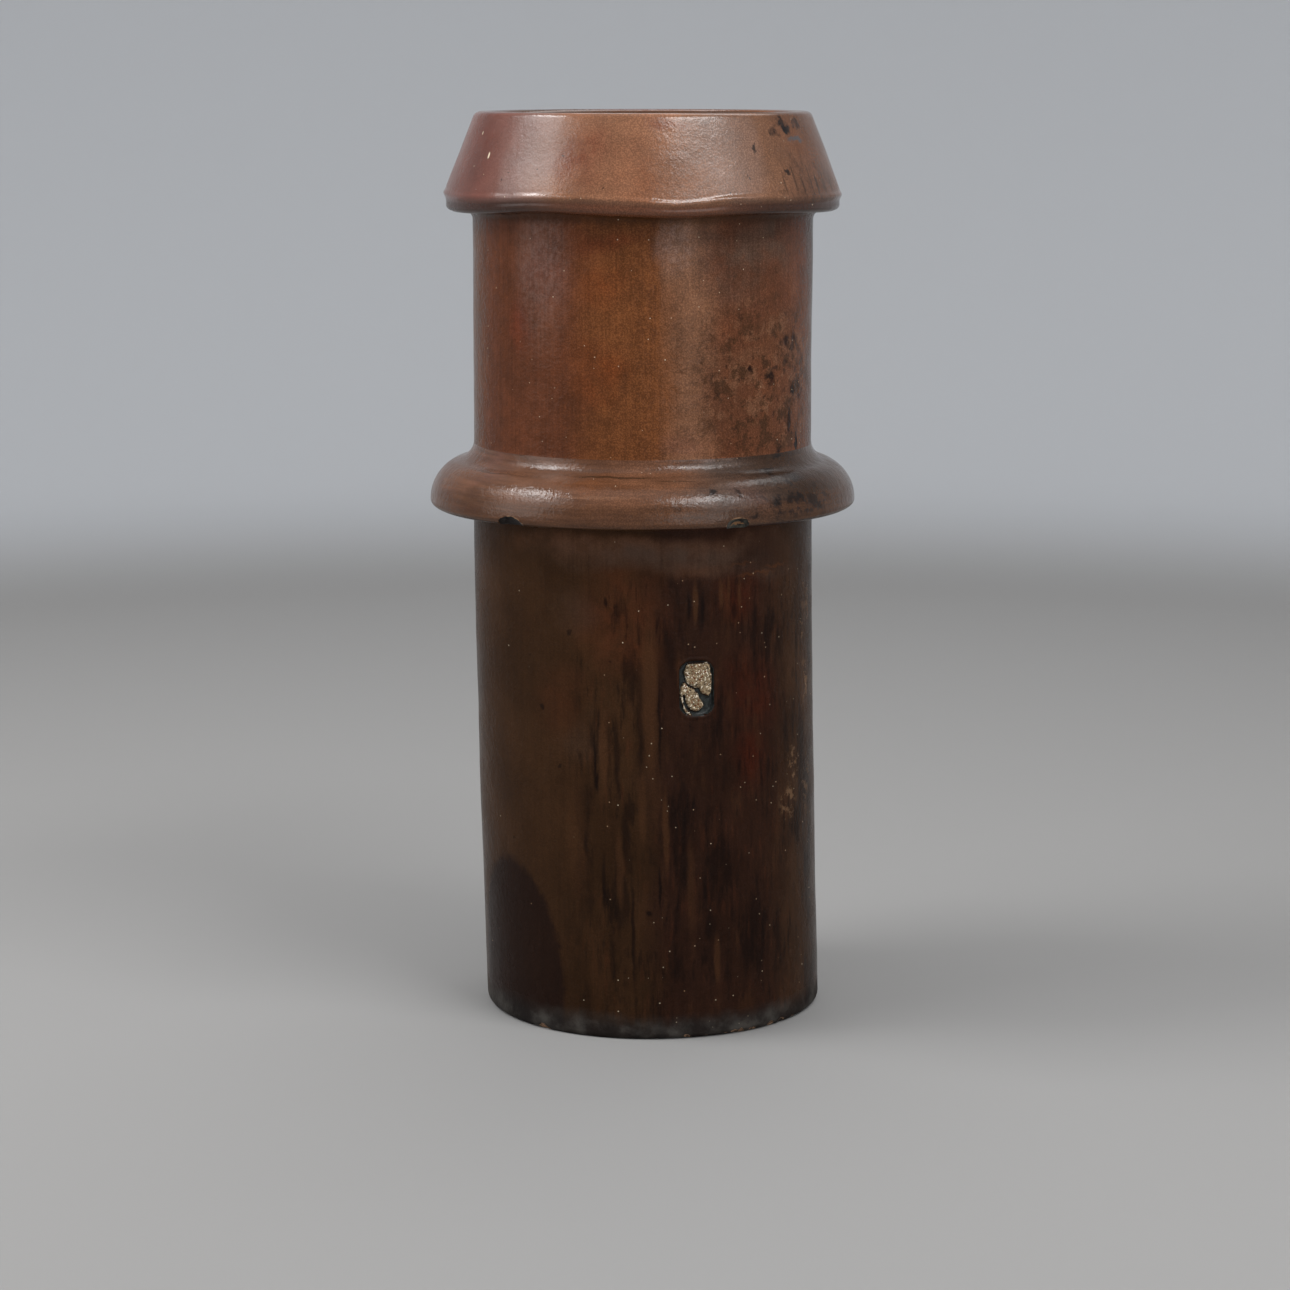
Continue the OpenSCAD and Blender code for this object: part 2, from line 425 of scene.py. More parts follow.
def pot_surface(column, row):
    """Points of the pot's skin in millimetres, their levels before it sagged, and masks of its damage."""
    angle = degrees_of(column)
    radius, level, normal_r, normal_z = SECTION.at(row)
    turn = np.radians(angle)
    outside = normal_r > FACING_OUT
    place = np.column_stack([radius * np.sin(turn), -radius * np.cos(turn), level])

    # Thrown clay is never quite round
    swell = OVAL_SWELL * np.cos(2 * turn + OVAL_PHASE)
    swell += LOBED_SWELL * np.cos(3 * turn + LOBED_PHASE + level / LOBED_TWIST)
    swell += LUMP_SWELL * noise_at(place, LUMP_SIZE)
    swell += RING_RISE * np.sin(level / RING_PITCH + RING_WAVER * np.sin(turn + level / RING_TWIST))
    swell *= np.where(outside, 1.0, BORE_UNEVEN)

    # The scar, the rim's crease and the nick
    depth = np.zeros_like(angle)
    sandy = np.zeros(len(angle), bool)
    border = np.zeros(len(angle), bool)
    x, y = scar_plane(angle, level)
    near = outside & (np.abs(x) < SCAR_HALF_W + SCAR_MARGIN) & (np.abs(y) < SCAR_HALF_H + SCAR_MARGIN)
    depth[near], sandy[near], border[near] = scar_relief(angle[near], level[near])
    pinch = (PINCH_RISE + PINCH_UNEVEN * noise_at(place, PINCH_SIZE)) * bump(level, CREASE_Z, PINCH_HALF_H)
    pinch -= GROOVE_DEPTH * bump(level, CREASE_Z - GROOVE_DROP, GROOVE_HALF_H)
    nick = NICK_DEPTH * bump(angle, NICK_ANGLE, NICK_HALF_ANGLE) * bump(level, NICK_Z, NICK_HALF_H)
    moved = swell + np.where(outside, pinch - nick, 0.0) - depth
    radius = radius + normal_r * moved
    height = level + normal_z * np.where(np.abs(normal_z) > LEVEL_FACE, LEVEL_UNEVEN * moved, moved)
    height = np.where(outside, height + rim_sag(angle, height), height)
    points = np.column_stack([radius * np.sin(turn), -radius * np.cos(turn), height])

    # Chips knocked out of the lower edges
    chipped = np.zeros(len(angle), bool)
    worn = np.zeros(len(angle), bool)
    for chip in COLLAR_CHIPS:
        chipped |= scoop(points, COLLAR_R, COLLAR_Z, chip, COLLAR_CHIP_ROUGH)
    for chip in FOOT_CHIPS:
        worn |= scoop(points, LOWER_R, 0.0, chip, FOOT_CHIP_ROUGH)

    # The lean from drying and firing, and flat ends
    lean = np.clip(1 - points[:, 2] / BOW_START_Z, 0.0, 1.0) ** BOW_POWER
    points[:, 0] += BOW_TOP + (BOW_FOOT - BOW_TOP) * lean
    points[:, 2] = np.clip(points[:, 2], 0.0, POT_H)
    return points, level, {"sandy": sandy, "border": border, "chipped": chipped, "worn": worn}


# The pot's surfaces, in the order of its materials: the zones of glaze, then the damage
ZONES = ["lower", "collar", "upper", "rim", "flue"]
SURFACES = ZONES + ["sandy", "border", "chipped", "worn"]

# Patches with a finer mesh, as angle and height ranges on the outside, with the cuts per edge
FINE_PATCHES = [
    ((SCAR_ANGLE - 9, SCAR_ANGLE + 9), (SCAR_Z - 26, SCAR_Z + 26), 7),
    ((-44, -29), (COLLAR_Z - 1, COLLAR_Z + 12), 3),
    ((19, 32), (COLLAR_Z - 1, COLLAR_Z + 12), 3),
    ((-46, 58), (-1, 9), 2),
]


def grid_of_rows():
    """A flat grid of columns by rows, finer in the patches, as a bmesh."""
    grid = bmesh.new()
    corners = [
        [grid.verts.new((column, row, 0)) for column in range(COLUMNS + 1)]
        for row in range(SECTION.rows + 1)
    ]
    for row in range(SECTION.rows):
        for column in range(COLUMNS):
            grid.faces.new((
                corners[row][column],
                corners[row][column + 1],
                corners[row + 1][column + 1],
                corners[row + 1][column],
            ))
    for (first, last), (low, high), cuts in FINE_PATCHES:
        middles = np.array([face.calc_center_median()[:2] for face in grid.faces])
        angle = degrees_of(middles[:, 0])
        radius, height, normal_r, _ = SECTION.at(middles[:, 1])
        chosen = (first < angle) & (angle < last) & (low < height) & (height < high)
        chosen &= (normal_r > FACING_OUT) & (radius > WALL_MIDDLE_R)
        grid.faces.ensure_lookup_table()
        edges = {edge for i in np.flatnonzero(chosen) for edge in grid.faces[i].edges}
        bmesh.ops.subdivide_edges(grid, edges=list(edges), cuts=cuts, use_grid_fill=True)
    return grid


def zone_of(row):
    """The material of each row: lower barrel, collar, upper barrel, rim or flue, in that order."""
    radius, height, normal_r, normal_z = SECTION.at(row)
    zone = np.full(len(row), ZONES.index("lower"))
    zone[(height > COLLAR_Z) & (normal_z > FACING_DOWN)] = ZONES.index("collar")
    zone[height > HOLLOW_TOP_Z] = ZONES.index("upper")
    zone[(height > RIM_Z - 0.1) & (radius > UPPER_R + RIM_FILLET_R / 2)] = ZONES.index("rim")
    zone[(height > RIM_Z + BAND_H) & (normal_r > FACING_IN)] = ZONES.index("rim")
    zone[normal_r < FACING_IN] = ZONES.index("flue")
    return zone


def pot_mesh():
    grid = grid_of_rows()
    grid.verts.ensure_lookup_table()
    flat = np.array([vert.co[:2] for vert in grid.verts])
    zones = zone_of(np.array([face.calc_center_median().y for face in grid.faces]))
    points, levels, damage = pot_surface(flat[:, 0], flat[:, 1])
    level_layer = grid.verts.layers.float.new("level")
    for i, vert in enumerate(grid.verts):
        vert.co = points[i] * MM
        vert[level_layer] = levels[i]
    for face, zone in zip(grid.faces, zones):
        face.smooth = True
        face.material_index = int(zone)
        corners = [vert.index for vert in face.verts]
        for name, mask in damage.items():
            if mask[corners].mean() > 0.5:
                face.material_index = SURFACES.index(name)
    bmesh.ops.remove_doubles(grid, verts=grid.verts, dist=1e-6)
    mesh = bpy.data.meshes.new("chimney_pot_skin")
    grid.to_mesh(mesh)
    grid.free()
    return mesh


def srgb(red, green, blue):
    """A colour as it looks on screen, from 0 to 255, as the linear values that a node takes."""
    channels = [c / 255 for c in (red, green, blue)]
    linear = [c / 12.92 if c <= 0.04045 else ((c + 0.055) / 1.055) ** 2.4 for c in channels]
    return (*linear, 1.0)


# Palette of the fired glaze, and a pale grey that is painted sheen
CREAM = srgb(232, 214, 184)
BUFF = srgb(172, 134, 100)
# Pale grey for painted sheen, where the lights reflect
PAINTED_SHEEN = srgb(150, 128, 120)
GINGER = srgb(128, 87, 63)
ROSE = srgb(116, 78, 68)
MULBERRY = srgb(102, 61, 51)
FAWN = srgb(116, 80, 58)
HAZEL = srgb(97, 64, 45)
AMBER = srgb(112, 57, 26)
OCHRE = srgb(101, 59, 31)
BRICK = srgb(98, 43, 24)
RUST = srgb(87, 47, 28)
OLIVE = srgb(78, 50, 31)
TAUPE = srgb(75, 57, 47)
SLATE = srgb(72, 76, 80)
UMBER = srgb(54, 35, 21)
GARNET = srgb(68, 25, 12)
OXBLOOD = srgb(44, 26, 18)
PLUM = srgb(25, 15, 14)
PITCH = srgb(19, 12, 10)
CHARCOAL = srgb(34, 31, 30)
DUST = srgb(76, 73, 69)

# Palette of the wad sand, the scar's border and the broken clay
SAND_DARK = srgb(92, 74, 52)
SAND_PALE = srgb(176, 154, 122)
SAND_WHITE = srgb(236, 224, 202)
SAND_RUST = srgb(112, 60, 28)
SAND_PIT = srgb(44, 36, 28)
BORDER_DARK = srgb(17, 19, 19)
BORDER_PALE = srgb(46, 51, 49)
CHIP_GREY = srgb(78, 76, 66)
CHIP_ORANGE = srgb(136, 98, 66)
WORN_DARK = srgb(52, 43, 37)
WORN_PALE = srgb(158, 124, 96)

# Depth of the orange peel in metres, and how strongly the surface mirrors, in each zone of glaze
PEEL_DEPTH = {"lower": 0.0002, "collar": 0.0002, "upper": 0.00032, "rim": 0.00012, "flue": 0.0003}
MIRROR = {"lower": 0.05, "collar": 0.3, "upper": 0.09, "rim": 0.4, "flue": 0.15}

# Sizes of the glaze's texture, as noise scales per metre: the peel's coarser layers have a weight each
GRAIN_SCALE = 900.0
GRIT_SCALE = 120.0
GRIT_RISE = 0.8
FINE_PEEL_SCALE = 620.0
COARSER_PEEL = [(270.0, 1.1), (110.0, 2.0)]


class Graph:
    """A material's nodes, made by short calls that take numbers or sockets."""

    def __init__(self, name):
        self.material = bpy.data.materials.new(name)
        self.material.use_nodes = True
        self.tree = self.material.node_tree
        self.tree.nodes.clear()
        self.point = self.node("ShaderNodeTexCoord").outputs["Object"]

    def node(self, kind, inputs=None, **settings):
        made = self.tree.nodes.new(kind)
        for name, value in settings.items():
            setattr(made, name, value)
        for name, value in (inputs or {}).items():
            self.feed(made.inputs[name], value)
        return made

    def feed(self, socket, value):
        if isinstance(value, bpy.types.NodeSocket):
            self.tree.links.new(value, socket)
        else:
            socket.default_value = value

    def math(self, operation, *values, clamp=False):
        made = self.node("ShaderNodeMath", operation=operation, use_clamp=clamp)
        for socket, value in zip(made.inputs, values):
            self.feed(socket, value)
        return made.outputs[0]

    def vector(self, operation, *values):
        made = self.node("ShaderNodeVectorMath", operation=operation)
        for socket, value in zip(made.inputs, values):
            self.feed(socket, value)
        return made.outputs["Value" if operation == "LENGTH" else "Vector"]

    def between(self, value, low, high, first=0.0, last=1.0):
        """A smooth step from first at low to last at high."""
        made = self.node("ShaderNodeMapRange", interpolation_type="SMOOTHSTEP")
        for socket, number in zip(made.inputs, (value, low, high, first, last)):
            self.feed(socket, number)
        return made.outputs["Result"]

    def times(self, *values):
        total = values[0]
        for value in values[1:]:
            total = self.math("MULTIPLY", total, value)
        return total

    def blend(self, factor, first, second, mode="MIX"):
        made = self.node("ShaderNodeMix", data_type="RGBA", blend_type=mode)
        for socket, value in zip((made.inputs[0], made.inputs[6], made.inputs[7]), (factor, first, second)):
            self.feed(socket, value)
        return made.outputs[2]

    def noise(self, scale, detail=3.0, roughness=0.55, stretch=(1.0, 1.0, 1.0)):
        """Noise in the pot's own space, drawn out along an axis where stretch is below 1."""
        where = self.point
        if stretch != (1.0, 1.0, 1.0):
            where = self.vector("MULTIPLY", self.point, stretch)
        return self.node(
            "ShaderNodeTexNoise",
            {"Vector": where, "Scale": scale, "Detail": detail, "Roughness": roughness},
        ).outputs["Fac"]

    def runs(self, scale, along, detail=3.0):
        """Noise drawn out up and down the pot."""
        return self.noise(scale, detail, 0.6, (1.0, 1.0, along))

    def cells(self, scale):
        """Distance to the nearest of scattered points, and three random numbers for that point."""
        made = self.node("ShaderNodeTexVoronoi", {"Vector": self.point, "Scale": scale})
        picks = self.node("ShaderNodeSeparateColor", {"Color": made.outputs["Color"]}).outputs
        return made.outputs["Distance"], picks

    def finish(self, colour, roughness, specular, height=None, distance=0.0):
        shader = self.node("ShaderNodeBsdfPrincipled", {
            "Base Color": colour,
            "Roughness": roughness,
            "Specular IOR Level": specular,
        })
        if height is not None:
            bumps = self.node("ShaderNodeBump", {"Height": height, "Strength": 1.0, "Distance": distance})
            self.feed(shader.inputs["Normal"], bumps.outputs[0])
        output = self.node("ShaderNodeOutputMaterial")
        self.feed(output.inputs["Surface"], shader.outputs[0])
        return self.material


class Glaze(Graph):
    """Glaze on the pot, laid on in layers: it knows the degrees round from the front, the millimetres up,
    and the level, which is the height before the soft clay sagged."""

    def __init__(self, name, colours):
        super().__init__(name)
        x, y, z = self.node("ShaderNodeSeparateXYZ", {"Vector": self.point}).outputs
        self.height = self.math("MULTIPLY", z, 1 / MM)
        lean = self.math("MULTIPLY_ADD", self.height, -1 / BOW_START_Z, 1.0, clamp=True)
        lean = self.math("POWER", lean, BOW_POWER)
        axis = self.math("MULTIPLY_ADD", lean, (BOW_FOOT - BOW_TOP) * MM, BOW_TOP * MM)
        across = self.math("SUBTRACT", x, axis)
        turn = self.math("ARCTAN2", across, self.math("MULTIPLY", y, -1.0))
        self.angle = self.math("MULTIPLY", turn, 180 / math.pi)
        self.level = self.node("ShaderNodeAttribute", attribute_name="level").outputs["Fac"]
        self.cloudy, self.cloud_angle = self.wander(scale=16.0, sideways=9.0, upright=26.0)
        self.ragged, _ = self.wander(scale=140.0, sideways=1.8, upright=6.0)
        self.straight, self.straight_angle = self.wander(scale=60.0, sideways=0.8, upright=1.2)
        self.colour = self.around(colours)

    def wander(self, scale, sideways, upright):
        """Angle and height as a place, strayed by these degrees and millimetres in swirls of this scale."""
        swirl = self.node("ShaderNodeTexNoise", {"Vector": self.point, "Scale": scale, "Detail": 3.0})
        red, green, _ = self.node("ShaderNodeSeparateColor", {"Color": swirl.outputs["Color"]}).outputs
        angle = self.math("ADD", self.angle, self.math("MULTIPLY_ADD", red, 2 * sideways, -sideways))
        height = self.math("ADD", self.height, self.math("MULTIPLY_ADD", green, 2 * upright, -upright))
        return self.node("ShaderNodeCombineXYZ", {"X": angle, "Y": height}).outputs[0], angle

    def around(self, stops):
        """A colour that changes round the pot: angles from the front, in degrees, with their colours."""
        share = self.math("MULTIPLY_ADD", self.cloud_angle, 1 / 360, 0.5)
        ramp = self.node("ShaderNodeValToRGB", {"Fac": share})
        elements = ramp.color_ramp.elements
        ramp.color_ramp.interpolation = "EASE"
        elements.remove(elements[1])
        elements[0].color = stops[0][1]
        for degrees, colour in stops[1:]:
            elements.new(degrees / 360 + 0.5).color = colour
        return ramp.outputs["Color"]

    def marks(self, place, marks, soft):
        """How far each place lies inside any oval mark: its middle, half width, half height, strength."""
        total = 0.0
        for angle, height, half_w, half_h, strength in marks:
            spot = self.node("ShaderNodeMapping", {
                "Vector": place,
                "Location": (-angle / half_w, -height / half_h, 0.0),
                "Scale": (1 / half_w, 1 / half_h, 0.0),
            })
            where = {"Vector": spot.outputs[0]}
            fall = self.node("ShaderNodeTexGradient", where, gradient_type="SPHERICAL")
            share = self.between(fall.outputs["Fac"], 0.0, soft, 0.0, strength)
            total = self.math("MAXIMUM", total, share)
        return total

    def cover(self, tone, *shares):
        """Lays a tone over the colour as far as the shares, multiplied together, say."""
        self.colour = self.blend(self.times(*shares), self.colour, tone)

    def shade(self, value, low, high, darkest, lightest):
        """Darkens and lightens the colour as a value goes from low to high."""
        level = self.between(value, low, high, darkest, lightest)
        self.colour = self.blend(1.0, self.colour, level, "MULTIPLY")

    def swirls(self, scale, darkest, lightest):
        """Slow swirls of lighter and darker glaze."""
        self.shade(self.noise(scale, 4.0, 0.6), 0.3, 0.7, darkest, lightest)

    def blotches(self, marks, soft):
        """Black blotches with torn edges."""
        torn = self.between(self.noise(90.0, 4.0), 0.36, 0.56)
        self.cover(PITCH, self.marks(self.ragged, marks, soft), torn)

    def clouds(self, layers):
        """Soft torn clouds: each layer is a tone and its marks."""
        torn = self.between(self.noise(30.0, 5.0, 0.65), 0.36, 0.6, 0.35, 1.0)
        for tone, marks in layers:
            self.cover(tone, self.marks(self.cloudy, marks, 0.9), torn)

    def grain(self, amount):
        """The grain of the salt, about as fine as sand."""
        grains = self.between(self.noise(GRAIN_SCALE, 1.0, 0.6), 0.36, 0.74, -0.4, 1.2)
        level = self.math("MULTIPLY_ADD", grains, amount, 1.0)
        self.colour = self.blend(1.0, self.colour, level, "MULTIPLY")

    def grit(self, fewest, most):
        """Pale grit that pokes through, with more of it on the right of the front. Returns where it is."""
        nearest, picks = self.cells(GRIT_SCALE)
        share = self.between(self.cloud_angle, -30.0, 0.0, fewest, most)
        chosen = self.math("GREATER_THAN", share, picks[0])
        grit = self.times(self.between(nearest, 0.04, 0.07, 1.0, 0.0), chosen)
        self.cover(self.blend(picks[1], BUFF, CREAM), grit, self.between(picks[2], 0.0, 1.0, 0.6, 1.0))
        return grit

    def peel(self, grit):
        """Height of the orange-peel surface that salt leaves, with the grit standing on it."""
        skin = self.noise(FINE_PEEL_SCALE, 2.0)
        for scale, weight in COARSER_PEEL:
            skin = self.math("MULTIPLY_ADD", self.noise(scale, 2.0), weight, skin)
        return self.math("MULTIPLY_ADD", grit, GRIT_RISE, skin)

    def gloss(self, smoothest, roughest, scale=40.0, detail=3.0):
        """Roughness that varies over the glaze."""
        return self.between(self.noise(scale, detail), 0.3, 0.7, smoothest, roughest)

    def fire(self, zone, roughness, grit):
        """The finished material of a zone."""
        return self.finish(self.colour, roughness, MIRROR[zone], self.peel(grit), PEEL_DEPTH[zone])


# Ground colour of each part of the pot, round from the back through the front
RIM_COLOURS = [
    (-180, RUST), (-130, OLIVE), (-85, ROSE), (-58, MULBERRY), (-42, ROSE), (-22, GINGER), (8, GINGER),
    (24, FAWN), (40, FAWN), (55, HAZEL), (85, HAZEL), (130, OCHRE), (180, RUST),
]
UPPER_COLOURS = [
    (-180, RUST), (-130, OCHRE), (-80, OLIVE), (-58, RUST), (-28, RUST), (-10, OCHRE), (6, OCHRE),
    (16, FAWN), (30, RUST), (60, RUST), (90, UMBER), (140, OLIVE), (180, RUST),
]
COLLAR_COLOURS = [
    (-180, RUST), (-120, OLIVE), (-80, HAZEL), (-40, HAZEL), (-14, HAZEL), (8, HAZEL), (25, TAUPE),
    (50, UMBER), (80, TAUPE), (130, OLIVE), (180, RUST),
]
LOWER_COLOURS = [
    (-180, UMBER), (-120, OXBLOOD), (-75, UMBER), (-30, UMBER), (-5, UMBER), (8, OXBLOOD), (40, OXBLOOD),
    (65, UMBER), (100, UMBER), (140, OXBLOOD), (180, UMBER),
]

# Clouds and marks seen on the rim: angle, height, half width in degrees, half height in mm, strength
RIM_CLOUDS = [
    (BRICK, [(-60, 694, 14, 16, 0.35), (10, 704, 11, 7, 0.8), (-20, 684, 13, 44, 0.8)]),
    (AMBER, [(-2, 672, 16, 30, 0.4)]),
    (OCHRE, [(62, 690, 18, 22, 0.7), (100, 680, 26, 30, 0.6), (-140, 690, 30, 24, 0.6)]),
    (TAUPE, [(22, 709, 13, 7, 0.6), (150, 700, 26, 14, 0.6), (-100, 668, 14, 18, 0.5)]),
]
RIM_DRIPS = [(60, 660, 26, 34, 1.0), (128, 660, 24, 22, 1.0), (-150, 664, 20, 24, 1.0)]
RIM_STREAKS = [
    (45, 662, 0.5, 15, 0.6), (49.5, 666, 0.6, 17, 0.6), (53, 659, 0.7, 13, 0.7), (57.5, 664, 0.6, 18, 0.6),
    (61, 660, 0.9, 14, 0.7), (66.5, 664, 0.8, 17, 0.6), (72, 660, 1.1, 14, 0.7),
]
RIM_BLOTCHES = [
    (50, 708, 5.5, 5, 0.9), (46.4, 701, 3.2, 5, 0.8), (53, 703, 3.2, 5, 1.0), (60, 706, 4, 4, 0.7),
    (36.5, 689, 0.8, 5, 0.9), (47.5, 671, 1.5, 3.4, 0.9), (112, 700, 8, 7, 0.8), (-128, 704, 9, 5, 0.7),
]
RIM_DOTS = [
    (31.7, 668, 0.5, 1.3, 0.8), (25.3, 656, 0.5, 1.3, 0.8), (-10.5, 659, 0.5, 1.3, 0.7),
    (-44.7, 666, 0.5, 1.3, 0.7), (-42.3, 670, 0.5, 1.3, 0.7), (-32, 674, 0.5, 1.3, 0.7),
    (-23.7, 684, 0.5, 1.3, 0.7),
]
# Painted sheen: paler ovals on the rim's cone where the left and right lights reflect
RIM_PAINTED_SHEEN = [(-36, 676, 12, 70, 0.22), (29, 690, 12, 60, 0.12)]
SLATE_PATCH = [(56.7, 695, 5.5, 2.6, 0.8)]
CREAM_FLECKS = [(-54.3, 683, 0.5, 3.0, 1.0), (-62.5, 699, 0.45, 1.8, 0.8)]


def rim_glaze():
    g = Glaze("rim_glaze", RIM_COLOURS)
    g.swirls(24.0, 0.82, 1.16)
    g.clouds(RIM_CLOUDS)
    # Painted sheen of the lights' reflections on the cone
    g.cover(PAINTED_SHEEN, g.marks(g.straight, RIM_PAINTED_SHEEN, 0.4))
    under_crease = g.between(g.level, CREASE_Z - 6.0, CREASE_Z - 1.0, 1.0, 0.0)
    g.cover(RUST, under_crease, 0.75)
    g.cover(OXBLOOD, under_crease, g.between(g.math("ABSOLUTE", g.cloud_angle), 14.0, 40.0), 0.8)
    drips = g.between(g.runs(260.0, 0.02), 0.44, 0.7)
    g.cover(UMBER, g.marks(g.cloudy, RIM_DRIPS, 0.5), drips, 0.6)
    g.cover(UMBER, g.marks(g.straight, RIM_STREAKS, 0.7))
    g.grain(g.between(g.cloud_angle, -30.0, -8.0, 0.15, 0.4))
    g.blotches(RIM_BLOTCHES, 0.5)
    g.cover(PITCH, g.marks(g.ragged, RIM_DOTS, 0.5))
    g.cover(SLATE, g.marks(g.ragged, SLATE_PATCH, 0.5))
    grit = g.grit(0.25, 0.45)
    g.cover(CREAM, g.marks(g.straight, CREAM_FLECKS, 0.5))

    # Glaze lies thicker and shinier along the crease and the lip
    off_crease = g.between(g.math("ABSOLUTE", g.math("SUBTRACT", g.level, CREASE_Z)), 2.0, 6.0)
    off_lip = g.between(g.level, POT_H - 6.0, POT_H - 1.0, 1.0, 0.0)
    roughness = g.math("MULTIPLY_ADD", g.times(off_crease, off_lip), 0.12, g.gloss(0.07, 0.16))
    return g.fire("rim", roughness, grit)


# Clouds and marks seen on the barrel between the collars
UPPER_CLOUDS = [
    # Painted sheen: pale grey where the lights reflect at the top of the barrel
    (PAINTED_SHEEN, [(-36, 618, 10, 24, 0.12), (9.5, 612, 7, 26, 0.3)]),
    (MULBERRY, [(-34, 600, 13, 40, 0.5), (14, 462, 10, 14, 0.4), (-110, 600, 24, 50, 0.6)]),
    (BRICK, [
        (-43, 556, 8, 36, 0.75), (-12, 622, 18, 14, 0.5), (-160, 520, 24, 50, 0.6), (150, 560, 18, 40, 0.5),
    ]),
    (AMBER, [
        (-14, 523, 13, 36, 0.85), (-13, 591, 11, 20, 0.75), (48, 500, 14, 40, 0.3),
        (-120, 510, 18, 30, 0.6),
    ]),
    (OCHRE, [(-7, 478, 20, 30, 0.8), (52, 545, 16, 30, 0.35), (120, 500, 26, 44, 0.7)]),
    (TAUPE, [
        (34, 604, 28, 46, 1.0), (50, 612, 22, 40, 1.0), (170, 610, 30, 30, 0.7), (100, 580, 22, 40, 0.5),
    ]),
    (UMBER, [
        (46, 556, 20, 11, 0.45), (56, 490, 16, 40, 0.25), (-6.6, 515, 2.2, 18, 0.5),
        (110, 470, 20, 24, 0.5),
    ]),
    (FAWN, [(11, 585, 6, 13, 0.8), (24, 532, 8, 9, 0.6), (37, 535, 13, 8, 0.6), (58, 529, 12, 7, 0.5)]),
]
UPPER_BLOTCHES = [
    (58.5, 540, 7, 9, 0.8), (62, 502, 6, 12, 0.9), (47, 513, 3.6, 8, 0.8), (37.6, 521, 1.8, 4, 0.9),
    (63, 463, 1.6, 13, 1.0), (51, 458, 5, 4, 0.9), (58, 478, 2.0, 12, 0.8), (104, 520, 6, 14, 0.8),
    (128, 470, 5, 9, 0.8), (-132, 500, 5, 11, 0.7),
]
# Painted sheen: paler ovals where the lights reflect on the upper barrel
UPPER_PAINTED_SHEEN = [(-35, 606, 15, 90, 0.14), (11, 620, 9, 34, 0.2)]
UPPER_MOTTLE = [(46, 512, 44, 105, 1.0), (118, 500, 34, 60, 1.0), (-140, 480, 30, 50, 0.8)]


def upper_glaze():
    g = Glaze("upper_glaze", UPPER_COLOURS)
    g.swirls(20.0, 0.9, 1.28)
    g.clouds(UPPER_CLOUDS)
    # Painted sheen: a fawn band with a sharp left edge where the right light reflects, fading downwards
    painted_sheen_edge = g.times(g.between(g.straight_angle, 5.0, 6.2), g.between(g.cloud_angle, 12.0, 26.0, 1.0, 0.0))
    g.cover(FAWN, painted_sheen_edge, g.between(g.height, 520.0, 600.0, 0.15, 0.4))
    g.shade(g.noise(75.0, 6.0, 0.7), 0.36, 0.64, 0.84, 1.16)
    mottled = g.marks(g.cloudy, UPPER_MOTTLE, 0.7)
    g.cover(HAZEL, mottled, 0.45)
    g.cover(FAWN, mottled, g.between(g.noise(55.0, 6.0, 0.7), 0.5, 0.6), 0.6)
    g.cover(UMBER, mottled, g.between(g.noise(70.0, 6.0, 0.75), 0.5, 0.58), 0.85)
    g.cover(PITCH, mottled, g.between(g.noise(150.0, 4.0, 0.6), 0.58, 0.66), 0.7)
    # Painted sheen, broken up by noise
    sheen_sparkle = g.between(g.noise(240.0, 4.0, 0.7), 0.4, 0.6, 0.5, 1.4)
    g.cover(PAINTED_SHEEN, g.marks(g.straight, UPPER_PAINTED_SHEEN, 0.7), sheen_sparkle)
    g.shade(g.runs(420.0, 0.02), 0.3, 0.7, 0.88, 1.12)
    g.cover(FAWN, 0.1)
    g.grain(g.between(g.cloud_angle, -35.0, -5.0, 0.15, 0.4))
    g.blotches(UPPER_BLOTCHES, 0.6)
    # Painted shadow: darker just under the rim
    painted_shadow_under_rim = g.between(g.height, RIM_Z - 9.0, RIM_Z - 2.0)
    g.cover(UMBER, painted_shadow_under_rim, 0.6)
    grit = g.grit(0.6, 0.7)
    return g.fire("upper", g.gloss(0.14, 0.24), grit)


# Clouds and marks seen on the middle collar
COLLAR_CLOUDS = [
    (ROSE, [(-56, 446, 20, 9, 0.35), (30, 430, 9, 12, 0.3)]),
    (OCHRE, [(-14, 440, 16, 8, 0.7), (100, 430, 20, 14, 0.6)]),
    # Painted sheen: pale grey along the hollow and on the ovolo where the lights reflect
    (PAINTED_SHEEN, [(-50, 452, 26, 4, 0.15), (22, 453, 14, 4, 0.3), (20, 421, 9, 7, 0.15)]),
    (BRICK, [(-58, 420, 20, 9, 0.3), (-150, 430, 26, 12, 0.6)]),
]
COLLAR_BLOTCHES = [
    (34, 457, 3, 3, 0.8), (51, 454, 5, 4, 0.9), (19.4, 434, 1.7, 3, 0.9), (9, 422, 1.8, 4, 0.7),
    (39, 421, 4, 11, 0.9), (42, 444, 5, 3.4, 0.8), (29.5, 414, 2.6, 3, 0.8), (26.6, 432, 1.3, 2.2, 0.8),
    (44, 424, 5, 6, 0.8), (52, 420, 5, 7, 0.7), (116, 428, 8, 8, 0.8), (-126, 436, 7, 6, 0.7),
]
COLLAR_MOTTLE = [(46, 428, 24, 24, 1.0), (118, 430, 26, 22, 0.8), (-140, 430, 24, 20, 0.6)]
TOOL_LINES = [
    (-8, 443, 17, 0.8, 0.8), (10, 441, 9, 0.6, 0.6), (-52, 441, 16, 0.7, 0.4), (46, 446, 16, 0.8, 0.5),
]
RIDGE_LINE = [(-12, 430, 15, 1.5, 0.7), (-40, 429, 10, 1.2, 0.4)]


